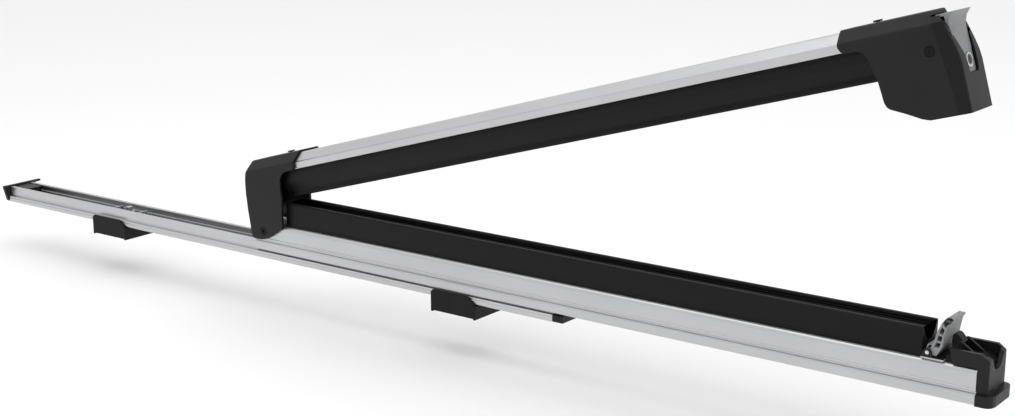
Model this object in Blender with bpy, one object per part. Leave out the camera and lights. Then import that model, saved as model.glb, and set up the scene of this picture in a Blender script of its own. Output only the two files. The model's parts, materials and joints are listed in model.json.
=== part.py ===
"""Pull-out roof ski rack: a base rail on two feet, a slide rail drawn out over its end,
and a hinged clamping arm with a lock housing, each with a rubber pad facing the other.

Metres, +Z up. +X runs along the rails towards the lock end and Y = 0 is their middle.
The origin is in the middle of the front foot's sole, in the plane that the feet stand on.
"""
import math

import bmesh
import bpy
from mathutils import Matrix, Vector

MM = 0.001
GAP = 0.3 * MM                     # clearance between pieces that touch

# Base rail: a channel with a wide foot and a narrower upper part
BASE_LENGTH = 672.0 * MM
BASE_FRONT_REACH = 97.5 * MM       # from the front foot's middle to the rail's front end
RAIL_WIDTH = 33.0 * MM             # base foot, slide rail and arm rail share this width
BASE_HEIGHT = 14.8 * MM
BASE_LEDGE = 5.8 * MM              # height of the wide foot
BASE_WALL = 1.6 * MM
BASE_FLOOR = 2.0 * MM
BASE_SETBACK = 2.8 * MM            # how far the upper walls stand in from the foot
BASE_LIP = 2.0 * MM                # width of the lips that hold the slide down
BASE_LIP_THICKNESS = 1.6 * MM
BASE_RIB = 1.2 * MM                # inner ribs under the slide's hooks
BASE_RIB_TOP = 9.0 * MM

# Slide rail
SLIDE_LENGTH = 667.1 * MM
SLIDE_OVERLAP = 324.5 * MM         # length left over the base when drawn out
SLIDE_HEIGHT = 25.3 * MM
SLIDE_BOTTOM = 7.3 * MM            # above the base rail's bottom
SLIDE_SHOULDER = 3.6 * MM          # radius of the top edges
SLIDE_WEB = 16.0 * MM              # underside of the lower web, above the base's bottom
WEB_THICKNESS = 1.6 * MM
SKIRT_SETBACK = 0.5 * MM
HOOK_THICKNESS = 1.5 * MM

# T-slots that hold the pads, in the slide rail and in the arm rail
SLOT_LIP = 1.4 * MM
SLOT_HEIGHT = 1.6 * MM
SLOT_HALF = 13.4 * MM
SLOT_MOUTH_HALF = 9.6 * MM

# Pads
PAD_LENGTH = 590.0 * MM
PAD_HALF = 12.7 * MM
PAD_HEIGHT = 20.7 * MM             # above the slide rail
PAD_LIP = 3.4 * MM                 # thickness of a lip at its top
PAD_VALLEY = 11.3 * MM             # depth of the valley between the lips
UPPER_PAD_DEPTH = 23.7 * MM        # below the arm rail
UPPER_PAD_NOSE = 8.4 * MM          # half width of the upper pad's tip

# Feet, bar bolts and what they clamp
FOOT_PITCH = 421.0 * MM
FOOT_LENGTH = 46.0 * MM
FOOT_HEIGHT = 12.5 * MM            # from the bar to the rail's bottom
FOOT_EAR = 1.9 * MM                # thickness of the ears beside the rail
FOOT_EAR_HEIGHT = 6.3 * MM
SOLE_THICKNESS = 3.2 * MM
SOLE_LIP = 2.4 * MM                # the foot's end walls beside its sole
SOLE_EDGE = 0.9 * MM               # how far the foot's sides stop above the bar
BOLT_OFFSET = 9.0 * MM             # from the foot's middle to its bolt
BOLT_RADIUS = 3.0 * MM
BOLT_HEAD = (8.0 * MM, 20.0 * MM, 2.6 * MM)
WASHER_RADIUS = 6.9 * MM
WASHER_THICKNESS = 1.2 * MM
BOLT_TIP = 15.0 * MM               # top of the bolt above the rail's bottom
NUT_RADIUS = 5.8 * MM
NUT_HEIGHT = 5.0 * MM
CLAMP_LENGTH = 36.0 * MM
CLAMP_THICKNESS = 1.7 * MM
CLAMP_TAB_TOP = 12.4 * MM

# End caps of the base rail
REAR_CAP_THICKNESS = 3.5 * MM
REAR_CAP_OVERHANG = 4.3 * MM       # beyond the rail's side at the top
REAR_CAP_WING = 7.3 * MM
REAR_CAP_PLUG = 21.0 * MM
FRONT_CAP_LENGTH = 9.7 * MM

# Arm hinge
HINGE_INSET = 14.0 * MM            # from the slide rail's rear end to the pivot
HINGE_HEIGHT = 25.9 * MM           # above the base rail's bottom
PIVOT_RADIUS = 2.0 * MM
OPEN_ANGLE = 16.12                 # degrees
CHEEK = 2.2 * MM                   # wall of the hinge bracket and of the lock housing
BRACKET_TOP_HALF = 11.5 * MM

# Arm rail, measured from the pivot along the arm and square to it
ARM_START = 14.0 * MM
ARM_BOTTOM = 47.3 * MM
ARM_RIDGE = 53.5 * MM
ARM_TOP = 60.8 * MM
ARM_TOP_HALF = 10.5 * MM
ARM_WALL = 1.7 * MM
ARM_END_INSET = 27.5 * MM          # from the arm rail's end to the housing's end face

# Lock housing, measured back from its end face and square to the arm
HOUSING_TOP = 62.5 * MM
HOUSING_CREASE = 54.0 * MM
HOUSING_BOTTOM = -7.1 * MM
HOUSING_WALL = 1.4 * MM
FACE_INSET = 0.7 * MM              # how far the lower end face stands behind its datum
ATTIC_HALF = 11.5 * MM             # hollow beyond the arm rail's end
BUTTON_THICKNESS = 2.8 * MM
BUTTON_TOP_HALF = 14.8 * MM
BUTTON_FOOT = 18.2 * MM
LOCK_RADIUS = 5.0 * MM
LOCK_HEIGHT = 26.0 * MM
LATCH_PIVOT = (19.9, 36.9)         # millimetres back from the end face, and up
LATCH_HALF = 3.0 * MM
LATCH_PIN_RADIUS = 1.6 * MM
LATCH_CLEAR = 14.0                 # degrees that the hook stands clear of the striker
PAWL_PIVOT = (15.5, 1.2)           # millimetres back from the end face, above the arm's underside
PAWL_PIN_RADIUS = 1.2 * MM
SCREW_HEAD = 3.5 * MM
SCREW_SINK = 1.3 * MM
TOP_SCREW_RADIUS = 1.5 * MM

# Outer end cap, catch and release lever, measured back from the slide rail's front end
CAP_TOP = 43.2 * MM                # above the base rail's bottom
CAP_WALL = 3.0 * MM
CAP_END = 8.0 * MM                 # beyond the slide rail's end
CAP_CHEEK_LENGTH = 19.8 * MM
CAP_FLANGE_END = 12.6 * MM
CAP_FLANGE_HALF = 19.0 * MM
CAP_FLANGE_TOP = 15.5 * MM
CAP_PLUG = 15.0 * MM
NOTCH_BOTTOM = 30.4 * MM
CATCH_HALF = 7.4 * MM              # of the catch's raised middle
LEVER_PIN = (-35.6 * MM, 37.0 * MM)
LEVER_PIN_RADIUS = 1.4 * MM
LEVER_HALF = 14.0 * MM
LEVER_LEG = 3.0 * MM               # the leg that reaches into the slide rail
LEVER_LEG_HALF = 4.0 * MM
PLUNGER_INSET = 22.0 * MM          # slide lock plunger, from the base rail's front end
PLUNGER_RADIUS = 1.2 * MM
PLUNGER_HEAD_RADIUS = 2.3 * MM

BASE_FRONT = BASE_FRONT_REACH
BASE_REAR = BASE_FRONT - BASE_LENGTH
SLIDE_REAR = BASE_FRONT - SLIDE_OVERLAP
SLIDE_FRONT = SLIDE_REAR + SLIDE_LENGTH
HALF = RAIL_WIDTH / 2
UPPER_HALF = HALF - BASE_SETBACK
INNER_HALF = UPPER_HALF - BASE_WALL
LIP_HALF = INNER_HALF - BASE_LIP
SLIDE_TOP = SLIDE_BOTTOM + SLIDE_HEIGHT
SLOT_TOP = SLIDE_TOP - SLOT_LIP
SLOT_FLOOR = SLOT_TOP - SLOT_HEIGHT
CHAMBER_BOTTOM = SLIDE_WEB + WEB_THICKNESS
CHAMBER_TOP = SLOT_FLOOR - WEB_THICKNESS + GAP
CHAMBER_HALF = HALF - 1.9 * MM
HOOK_OUTER = INNER_HALF - 0.4 * MM
HOOK_TOP = BASE_HEIGHT - BASE_LIP_THICKNESS - 0.8 * MM
HOOK_BOTTOM = HOOK_TOP - HOOK_THICKNESS
HOOK_NECK = LIP_HALF - 0.5 * MM
HOOK_INNER = HOOK_NECK - HOOK_THICKNESS
HINGE_X = SLIDE_REAR + HINGE_INSET
SPAN = SLIDE_FRONT - HINGE_X
CHEEK_INNER = HALF + GAP
CHEEK_OUTER = CHEEK_INNER + CHEEK
ARM_FACE = SPAN + CAP_END + GAP + HOUSING_WALL + FACE_INSET
ARM_END = ARM_FACE - ARM_END_INSET
PAD_START = HINGE_X + 22.8 * MM
SLIDE_TRAVEL = SLIDE_FRONT - 0.7 * MM - BASE_FRONT - FRONT_CAP_LENGTH - 0.5 * MM
PLUNGER_X = BASE_FRONT - PLUNGER_INSET
PLUNGER_Y = (LIP_HALF + UPPER_HALF) / 2


# ---------------------------------------------------------------- shapes

def arc(centre, radius, start, end, steps):
    """Points on an arc, angles in degrees, both ends included."""
    points = []
    for i in range(steps + 1):
        angle = math.radians(start + (end - start) * i / steps)
        points.append((centre[0] + radius * math.cos(angle), centre[1] + radius * math.sin(angle)))
    return points


def ring_from_half(half):
    """Close a half outline that starts and ends on the middle line."""
    right = half[1:-1]
    start = [] if abs(half[0][1] - half[1][1]) < 1e-9 else [half[0]]
    end = [] if abs(half[-1][1] - half[-2][1]) < 1e-9 else [half[-1]]
    return start + right + end + [(-u, v) for u, v in reversed(right)]


def circle(centre, radius, sides=20):
    """Corners of a round outline, none of them on its axes."""
    half_step = 180 / sides
    return arc(centre, radius, half_step, 360 - half_step, sides - 1)


def points(pairs, u0=0.0, v0=0.0):
    """Millimetre pairs measured from a place (u0, v0)."""
    return [(u0 + u * MM, v0 + v * MM) for u, v in pairs]


def box_outline(u0, u1, v0, v1):
    return [(u0, v0), (u1, v0), (u1, v1), (u0, v1)]


def to_space(axis, u, v, w):
    return {"X": (w, u, v), "Y": (u, w, v), "Z": (u, v, w)}[axis]


def prism(outlines, axis, low, high):
    """Mesh of an outline, with holes if more loops follow, extruded along an axis.

    The outline is (y, z) for X, (x, z) for Y and (x, y) for Z.
    """
    bm = bmesh.new()
    edges = []
    for loop in outlines:
        verts = [bm.verts.new(to_space(axis, u, v, low)) for u, v in loop]
        edges += [bm.edges.new((verts[i - 1], verts[i])) for i in range(len(verts))]
    bmesh.ops.triangle_fill(bm, use_beauty=True, edges=edges)
    moved = bmesh.ops.extrude_face_region(bm, geom=bm.faces[:])["geom"]
    step = Vector(to_space(axis, 0.0, 0.0, high - low))
    bmesh.ops.translate(bm, verts=[g for g in moved if isinstance(g, bmesh.types.BMVert)], vec=step)
    bmesh.ops.recalc_face_normals(bm, faces=bm.faces[:])
    mesh = bpy.data.meshes.new("prism")
    bm.to_mesh(mesh)
    bm.free()
    return mesh


def rod(axis, centre, radius, low, high, sides=20, bore=0.0):
    """Mesh of a round bar, or of a tube if it has a bore."""
    loops = [circle(centre, radius, sides)]
    if bore:
        loops.append(circle(centre, bore, sides))
    return prism(loops, axis, low, high)


def skin(rings):
    """Closed mesh through rings of the same number of points."""
    bm = bmesh.new()
    rows = [[bm.verts.new(point) for point in ring] for ring in rings]
    for lower, upper in zip(rows, rows[1:]):
        for i in range(len(lower)):
            bm.faces.new((lower[i - 1], lower[i], upper[i], upper[i - 1]))
    bm.faces.new(rows[0])
    bm.faces.new(rows[-1])
    bmesh.ops.recalc_face_normals(bm, faces=bm.faces[:])
    mesh = bpy.data.meshes.new("skin")
    bm.to_mesh(mesh)
    bm.free()
    return mesh


def stepped_rod(axis, centre, steps):
    """Round bar of several radii. steps is [(radius, low, high), ...], end to end."""
    rings = []
    for radius, low, high in steps:
        rings += [[to_space(axis, u, v, w) for u, v in circle(centre, radius)] for w in (low, high)]
    return skin(rings)


def loft(outline, levels):
    """Upright solid whose plan shifts along X with height. levels is [(height, shift), ...]."""
    return skin([[(u + shift, v, height) for u, v in outline] for height, shift in levels])


def drive_recess(axis, centre, radius, low, high):
    """Cutter for a hexagonal screw drive."""
    return rod(axis, centre, radius, low, high, sides=6)


# ---------------------------------------------------------------- objects

def clear_scene():
    for obj in list(bpy.data.objects):
        bpy.data.objects.remove(obj, do_unlink=True)


def make_material(name, colour, roughness, metallic):
    material = bpy.data.materials.new(name)
    material.use_nodes = True
    shader = material.node_tree.nodes["Principled BSDF"]
    shader.inputs["Base Color"].default_value = (*colour, 1.0)
    shader.inputs["Roughness"].default_value = roughness
    shader.inputs["Metallic"].default_value = metallic
    return material


def make_frame(name, location, parent=None, tilt=0.0):
    """Empty on a joint's axis. tilt raises its +X end, in degrees."""
    frame = bpy.data.objects.new(name, None)
    frame.location = location
    frame.rotation_euler = (0.0, -math.radians(tilt), 0.0)
    frame.parent = parent
    bpy.context.collection.objects.link(frame)
    return frame


def add_part(name, mesh, material, frame, offset=(0.0, 0.0), smooth=False):
    """Link a mesh as a named part. offset is the frame's own place in the mesh's (x, z)."""
    mesh.name = name
    mesh.transform(Matrix.Translation((-offset[0], 0.0, -offset[1])))
    mesh.materials.append(material)
    if smooth:
        mesh.shade_smooth()
        mesh.set_sharp_from_angle(angle=math.radians(35))
    part = bpy.data.objects.new(name, mesh)
    part.parent = frame
    bpy.context.collection.objects.link(part)
    return part


def combine(part, mesh, operation="DIFFERENCE", offset=(0.0, 0.0)):
    """Boolean a part with a mesh in the same frame."""
    mesh.transform(Matrix.Translation((-offset[0], 0.0, -offset[1])))
    tool = bpy.data.objects.new(part.name + "_tool", mesh)
    tool.parent = part.parent
    tool.hide_render = True
    tool.display_type = "WIRE"
    bpy.context.collection.objects.link(tool)
    modifier = part.modifiers.new(operation.title(), "BOOLEAN")
    modifier.operation = operation
    modifier.solver = "EXACT"
    modifier.object = tool


# ---------------------------------------------------------------- base

def base_section():
    half = [
        (0.0, 0.0), (HALF - 0.6 * MM, 0.0), (HALF, 0.6 * MM),
        (HALF, 3.4 * MM), (HALF - 0.4 * MM, 3.8 * MM), (HALF, 4.2 * MM),
        (HALF, BASE_LEDGE), (UPPER_HALF, BASE_LEDGE + 0.4 * MM),
        (UPPER_HALF, BASE_HEIGHT), (LIP_HALF, BASE_HEIGHT),
        (LIP_HALF, BASE_HEIGHT - BASE_LIP_THICKNESS), (INNER_HALF, BASE_HEIGHT - BASE_LIP_THICKNESS),
        (INNER_HALF, BASE_RIB_TOP), (INNER_HALF - BASE_RIB, BASE_RIB_TOP),
        (INNER_HALF - BASE_RIB, BASE_RIB_TOP - 1.0 * MM), (INNER_HALF, BASE_RIB_TOP - 1.0 * MM),
        (INNER_HALF, BASE_LEDGE - BASE_WALL), (HALF - BASE_WALL, BASE_LEDGE - BASE_WALL),
        (HALF - BASE_WALL, BASE_FLOOR), (0.0, BASE_FLOOR),
    ]
    return ring_from_half(half)


def make_base(frame, mats):
    rail = add_part("base_rail", prism([base_section()], "X", BASE_REAR, BASE_FRONT),
                    mats["aluminium"], frame)
    for x in (BOLT_OFFSET, BOLT_OFFSET - FOOT_PITCH):
        combine(rail, rod("Z", (x, 0.0), BOLT_RADIUS + GAP, -MM, BASE_FLOOR + MM))
    for x in (PLUNGER_X, PLUNGER_X - SLIDE_TRAVEL):
        reach = PLUNGER_RADIUS + GAP
        notch = box_outline(x - reach, x + reach, PLUNGER_Y - reach, PLUNGER_Y + reach)
        combine(rail, prism([notch], "Z", BASE_HEIGHT - BASE_LIP_THICKNESS - MM, BASE_HEIGHT + MM))


def make_rear_cap(frame, mats):
    top = BASE_HEIGHT + 1.2 * MM
    plate = [
        (-HALF + 1.0 * MM, 0.2 * MM), (HALF - 1.0 * MM, 0.2 * MM), (HALF, 4.0 * MM),
        (HALF, top - 2.2 * MM), (HALF + REAR_CAP_WING, top - 1.6 * MM), (HALF + REAR_CAP_WING, top),
        (-HALF - REAR_CAP_OVERHANG, top), (-HALF - REAR_CAP_OVERHANG, top - 2.0 * MM),
        (-HALF - 0.6 * MM, 1.2 * MM),
    ]
    cap = add_part("rear_end_cap",
                   prism([plate], "X", BASE_REAR - GAP - REAR_CAP_THICKNESS, BASE_REAR - GAP),
                   mats["black_plastic"], frame)
    plug_half = HOOK_INNER - GAP
    plug = prism([box_outline(-plug_half, plug_half, BASE_FLOOR + GAP, BASE_HEIGHT - 0.4 * MM)], "X",
                 BASE_REAR - 1.0 * MM - GAP, BASE_REAR + REAR_CAP_PLUG)
    combine(cap, plug, "UNION")


def make_front_cap(frame, mats):
    tongue = HOOK_INNER - GAP
    low = HOOK_BOTTOM - 1.4 * MM
    half = [
        (0.0, 0.2 * MM), (HALF - 0.6 * MM, 0.2 * MM), (HALF, 0.8 * MM), (HALF, BASE_LEDGE),
        (UPPER_HALF, BASE_LEDGE + 0.4 * MM), (UPPER_HALF, BASE_HEIGHT), (INNER_HALF, BASE_HEIGHT),
        (INNER_HALF, low), (tongue, low), (tongue, BASE_HEIGHT), (0.0, BASE_HEIGHT),
    ]
    cap = add_part("front_end_cap",
                   prism([ring_from_half(half)], "X", BASE_FRONT + GAP, BASE_FRONT + FRONT_CAP_LENGTH),
                   mats["black_plastic"], frame)
    plug = prism([box_outline(-tongue, tongue, BASE_FLOOR + GAP, HOOK_BOTTOM - 1.6 * MM)], "X",
                 BASE_FRONT - 14.0 * MM, BASE_FRONT + 1.0 * MM)
    combine(cap, plug, "UNION")


def make_front_glides(frame, mats):
    low = BASE_HEIGHT + GAP
    high = SLIDE_WEB - GAP
    for name, side in (("base_glide_left", -1), ("base_glide_right", 1)):
        inner, outer = sorted((side * LIP_HALF, side * UPPER_HALF))
        add_part(name, prism([box_outline(inner, outer, low, high)], "X",
                             BASE_FRONT - 15.0 * MM, BASE_FRONT - 1.0 * MM),
                 mats["glide"], frame)


def make_foot(prefix, centre_x, frame, mats):
    start = centre_x - FOOT_LENGTH / 2
    end = centre_x + FOOT_LENGTH / 2
    bolt_x = centre_x + BOLT_OFFSET
    half = HALF + GAP + FOOT_EAR
    side = [
        (start, -FOOT_HEIGHT), (start + SOLE_LIP, -FOOT_HEIGHT),
        (start + SOLE_LIP, SOLE_EDGE - FOOT_HEIGHT), (end - SOLE_LIP, SOLE_EDGE - FOOT_HEIGHT),
        (end - SOLE_LIP, -FOOT_HEIGHT), (end, -FOOT_HEIGHT), (end, -1.2 * MM),
        (end - 8.0 * MM, FOOT_EAR_HEIGHT), (start + 2.0 * MM, FOOT_EAR_HEIGHT),
        (start, FOOT_EAR_HEIGHT - 2.0 * MM),
    ]
    foot = add_part(prefix + "_foot", prism([side], "Y", -half, half), mats["black_plastic"], frame)
    combine(foot, prism([box_outline(start - MM, end + MM, -GAP, FOOT_EAR_HEIGHT + MM)], "Y",
                        -HALF - GAP, HALF + GAP))
    sole_top = SOLE_THICKNESS - FOOT_HEIGHT
    low_x, high_x = start + SOLE_LIP, end - SOLE_LIP
    sole_half = HALF + GAP
    combine(foot, prism([box_outline(low_x, high_x, -FOOT_HEIGHT - MM, sole_top)], "Y",
                        -sole_half, sole_half))
    combine(foot, rod("Z", (bolt_x, 0.0), BOLT_RADIUS + GAP, -FOOT_HEIGHT, MM))
    pocket_x = BOLT_HEAD[0] / 2 + GAP
    pocket_y = BOLT_HEAD[1] / 2 + GAP
    plan = box_outline(low_x + GAP, high_x - GAP, -sole_half + GAP, sole_half - GAP)
    pocket = box_outline(bolt_x - pocket_x, bolt_x + pocket_x, -pocket_y, pocket_y)
    add_part(prefix + "_foot_sole", prism([plan, pocket], "Z", -FOOT_HEIGHT, sole_top - GAP),
             mats["rubber"], frame)


def make_clamp(prefix, centre_x, frame, mats):
    bolt_x = centre_x + BOLT_OFFSET
    half_x, half_y = BOLT_HEAD[0] / 2, BOLT_HEAD[1] / 2
    head_top = SOLE_THICKNESS - FOOT_HEIGHT - GAP
    head = prism([box_outline(bolt_x - half_x, bolt_x + half_x, -half_y, half_y)], "Z",
                 head_top - BOLT_HEAD[2], head_top)
    bolt = add_part(prefix + "_bar_bolt", head, mats["zinc"], frame, smooth=True)
    combine(bolt, rod("Z", (bolt_x, 0.0), BOLT_RADIUS, head_top - 0.5 * MM, BOLT_TIP), "UNION")

    bottom = BASE_FLOOR + GAP
    top = bottom + CLAMP_THICKNESS
    tab = 1.6 * MM
    low, high = bolt_x - CLAMP_LENGTH / 2, bolt_x + CLAMP_LENGTH / 2
    side = [
        (low, bottom), (high, bottom), (high, CLAMP_TAB_TOP), (high - tab, CLAMP_TAB_TOP),
        (high - tab, top), (low + tab, top), (low + tab, CLAMP_TAB_TOP), (low, CLAMP_TAB_TOP),
    ]
    half = HOOK_INNER - 2 * GAP
    plate = add_part(prefix + "_clamp_plate", prism([side], "Y", -half, half), mats["zinc"], frame)
    combine(plate, rod("Z", (bolt_x, 0.0), BOLT_RADIUS + GAP, 0.0, top + MM))
    washer_top = top + GAP + WASHER_THICKNESS
    add_part(prefix + "_clamp_washer",
             rod("Z", (bolt_x, 0.0), WASHER_RADIUS, top + GAP, washer_top, bore=BOLT_RADIUS + GAP),
             mats["zinc"], frame, smooth=True)
    corners = circle((bolt_x, 0.0), NUT_RADIUS, 6)
    bore = circle((bolt_x, 0.0), BOLT_RADIUS + GAP)
    add_part(prefix + "_clamp_nut",
             prism([corners, bore], "Z", washer_top + GAP, washer_top + GAP + NUT_HEIGHT),
             mats["zinc"], frame)


# ---------------------------------------------------------------- slide

def slide_section():
    side = HALF - SKIRT_SETBACK
    skirt_inner = UPPER_HALF + 0.6 * MM
    shoulder = (HALF - SLIDE_SHOULDER, SLIDE_TOP - SLIDE_SHOULDER)
    half = [
        (0.0, SLIDE_WEB), (HOOK_INNER, SLIDE_WEB),
        (HOOK_INNER, HOOK_BOTTOM), (HOOK_OUTER, HOOK_BOTTOM),
        (HOOK_OUTER, HOOK_TOP), (HOOK_NECK, HOOK_TOP), (HOOK_NECK, SLIDE_WEB),
        (skirt_inner, SLIDE_WEB), (skirt_inner, SLIDE_BOTTOM), (side - 0.4 * MM, SLIDE_BOTTOM),
        (side, SLIDE_BOTTOM + 0.4 * MM), (side, 13.8 * MM), (side + 0.3 * MM, 14.4 * MM),
        (side + 0.3 * MM, 14.9 * MM), (HALF - 1.4 * MM, 15.6 * MM), (HALF - 1.4 * MM, 16.6 * MM),
        (HALF, 17.4 * MM), (HALF, 18.6 * MM), (HALF - 0.3 * MM, 18.9 * MM), (HALF, 19.2 * MM),
    ]
    half += arc(shoulder, SLIDE_SHOULDER, 0, 90, 5)
    half += [
        (SLOT_MOUTH_HALF, SLIDE_TOP), (SLOT_MOUTH_HALF, SLOT_TOP), (SLOT_HALF, SLOT_TOP),
        (SLOT_HALF, SLOT_FLOOR), (0.0, SLOT_FLOOR),
    ]
    return ring_from_half(half)


def make_slide_rail(frame, mats):
    chamber = box_outline(-CHAMBER_HALF, CHAMBER_HALF, CHAMBER_BOTTOM, CHAMBER_TOP)
    rail = add_part("slide_rail", prism([slide_section(), chamber], "X", SLIDE_REAR, SLIDE_FRONT),
                    mats["aluminium"], frame)
    combine(rail, rod("Y", (HINGE_X, HINGE_HEIGHT), PIVOT_RADIUS + 1.3 * MM, -HALF - MM, HALF + MM))
    combine(rail, rod("Z", (PLUNGER_X, PLUNGER_Y), PLUNGER_RADIUS + GAP, SLIDE_WEB - MM,
                      CHAMBER_BOTTOM + MM))
    combine(rail, prism([lever_window()], "Z", CHAMBER_TOP - MM, SLIDE_TOP + MM))


def lower_pad_section():
    low = SLOT_FLOOR + GAP
    neck = SLIDE_TOP + GAP
    top = SLIDE_TOP + PAD_HEIGHT
    inner = PAD_HALF - PAD_LIP
    valley = top - PAD_VALLEY
    half = [
        (0.0, low), (SLOT_HALF - GAP, low), (SLOT_HALF - GAP, SLOT_TOP - GAP),
        (SLOT_MOUTH_HALF - GAP, SLOT_TOP - GAP), (SLOT_MOUTH_HALF - GAP, neck), (PAD_HALF, neck),
        (PAD_HALF, top - 1.2 * MM), (PAD_HALF - 0.5 * MM, top - 0.3 * MM), (PAD_HALF - 1.2 * MM, top),
        (inner + 0.8 * MM, top), (inner, top - 0.8 * MM), (inner - 0.4 * MM, top - 5.8 * MM),
        (0.55 * inner, valley + 1.6 * MM), (0.22 * inner, valley + 0.2 * MM), (0.0, valley),
    ]
    return ring_from_half(half)


def make_lower_pad(frame, mats):
    add_part("lower_pad", prism([lower_pad_section()], "X", PAD_START, PAD_START + PAD_LENGTH),
             mats["rubber"], frame)


def make_slide_glides(frame, mats):
    for name, side in (("slide_glide_left", -1), ("slide_glide_right", 1)):
        inner, outer = sorted((side * (HOOK_INNER), side * HOOK_OUTER))
        add_part(name, prism([box_outline(inner, outer, BASE_RIB_TOP + GAP, HOOK_BOTTOM - GAP)], "X",
                             SLIDE_REAR + 1.0 * MM, SLIDE_REAR + 31.0 * MM),
                 mats["glide"], frame)


def make_hinge_block(frame, mats):
    half = CHAMBER_HALF - GAP
    block = prism([box_outline(SLIDE_REAR + GAP, HINGE_X + 12.0 * MM,
                               CHAMBER_BOTTOM + GAP, CHAMBER_TOP - GAP)], "Y", -half, half)
    part = add_part("hinge_block", block, mats["black_plastic"], frame)
    combine(part, rod("Y", (HINGE_X, HINGE_HEIGHT), PIVOT_RADIUS + GAP, -half - MM, half + MM))
    for name, side in (("hinge_bush_front", -1), ("hinge_bush_rear", 1)):
        low, high = sorted((side * (CHAMBER_HALF + 0.1 * MM), side * HALF))
        add_part(name, rod("Y", (HINGE_X, HINGE_HEIGHT), PIVOT_RADIUS + 1.0 * MM, low, high,
                           bore=PIVOT_RADIUS + GAP),
                 mats["glide"], frame, smooth=True)


def make_outer_cap(frame, mats):
    x = SLIDE_FRONT
    end = x + CAP_END
    half = HALF - 0.2 * MM
    flange_plan = [
        (x + 0.5 * MM, -CAP_FLANGE_HALF), (x + CAP_FLANGE_END - 5.4 * MM, -CAP_FLANGE_HALF),
        (x + CAP_FLANGE_END - 2.6 * MM, -CAP_FLANGE_HALF + 1.0 * MM),
        (x + CAP_FLANGE_END - 0.8 * MM, -CAP_FLANGE_HALF + 3.4 * MM),
        (x + CAP_FLANGE_END, -CAP_FLANGE_HALF + 7.0 * MM),
        (x + CAP_FLANGE_END, CAP_FLANGE_HALF - 7.0 * MM),
        (x + CAP_FLANGE_END - 0.8 * MM, CAP_FLANGE_HALF - 3.4 * MM),
        (x + CAP_FLANGE_END - 2.6 * MM, CAP_FLANGE_HALF - 1.0 * MM),
        (x + CAP_FLANGE_END - 5.4 * MM, CAP_FLANGE_HALF), (x + 0.5 * MM, CAP_FLANGE_HALF),
    ]
    cap = add_part("outer_end_cap",
                   prism([flange_plan], "Z", SLIDE_BOTTOM + GAP, CAP_FLANGE_TOP),
                   mats["black_plastic"], frame)
    side = [
        (x + GAP, CAP_FLANGE_TOP - 4 * MM), (end, CAP_FLANGE_TOP - 4 * MM), (end, CAP_TOP - 3.8 * MM),
        (end - 6.0 * MM, CAP_TOP), (x - CAP_CHEEK_LENGTH, CAP_TOP),
        (x - CAP_CHEEK_LENGTH + 2.5 * MM, SLIDE_TOP + GAP), (x + GAP, SLIDE_TOP + GAP),
    ]
    combine(cap, prism([side], "Y", -half, half), "UNION")
    plug = prism([box_outline(-CHAMBER_HALF + GAP, CHAMBER_HALF - GAP, CHAMBER_BOTTOM + GAP,
                              CHAMBER_TOP - GAP)], "X", x - CAP_PLUG, x + MM)
    combine(cap, plug, "UNION")
    for side_sign in (-1, 1):
        edge = side_sign * half
        wedge = [(end - 5.2 * MM, edge + side_sign * MM), (end + MM, edge + side_sign * MM),
                 (end + MM, edge - side_sign * 2.0 * MM), (end, edge - side_sign * 2.0 * MM),
                 (end - 0.6 * MM, edge - side_sign * 0.8 * MM), (end - 5.2 * MM, edge)]
        combine(cap, prism([wedge], "Z", CAP_FLANGE_TOP, CAP_TOP + MM))
    socket = box_outline(x - CAP_CHEEK_LENGTH - MM, end - CAP_WALL, SLIDE_TOP - 0.5 * MM, CAP_TOP + MM)
    combine(cap, prism([socket], "Y", -half + CAP_WALL, half - CAP_WALL))
    notch_half = [
        (0.0, CAP_TOP + MM), (12.0 * MM, CAP_TOP + MM), (9.4 * MM, CAP_TOP - 5.0 * MM),
        (5.6 * MM, NOTCH_BOTTOM + 1.4 * MM), (3.6 * MM, NOTCH_BOTTOM), (0.0, NOTCH_BOTTOM),
    ]
    combine(cap, prism([ring_from_half(notch_half)], "X", end - CAP_WALL - MM, end + MM))


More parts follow.
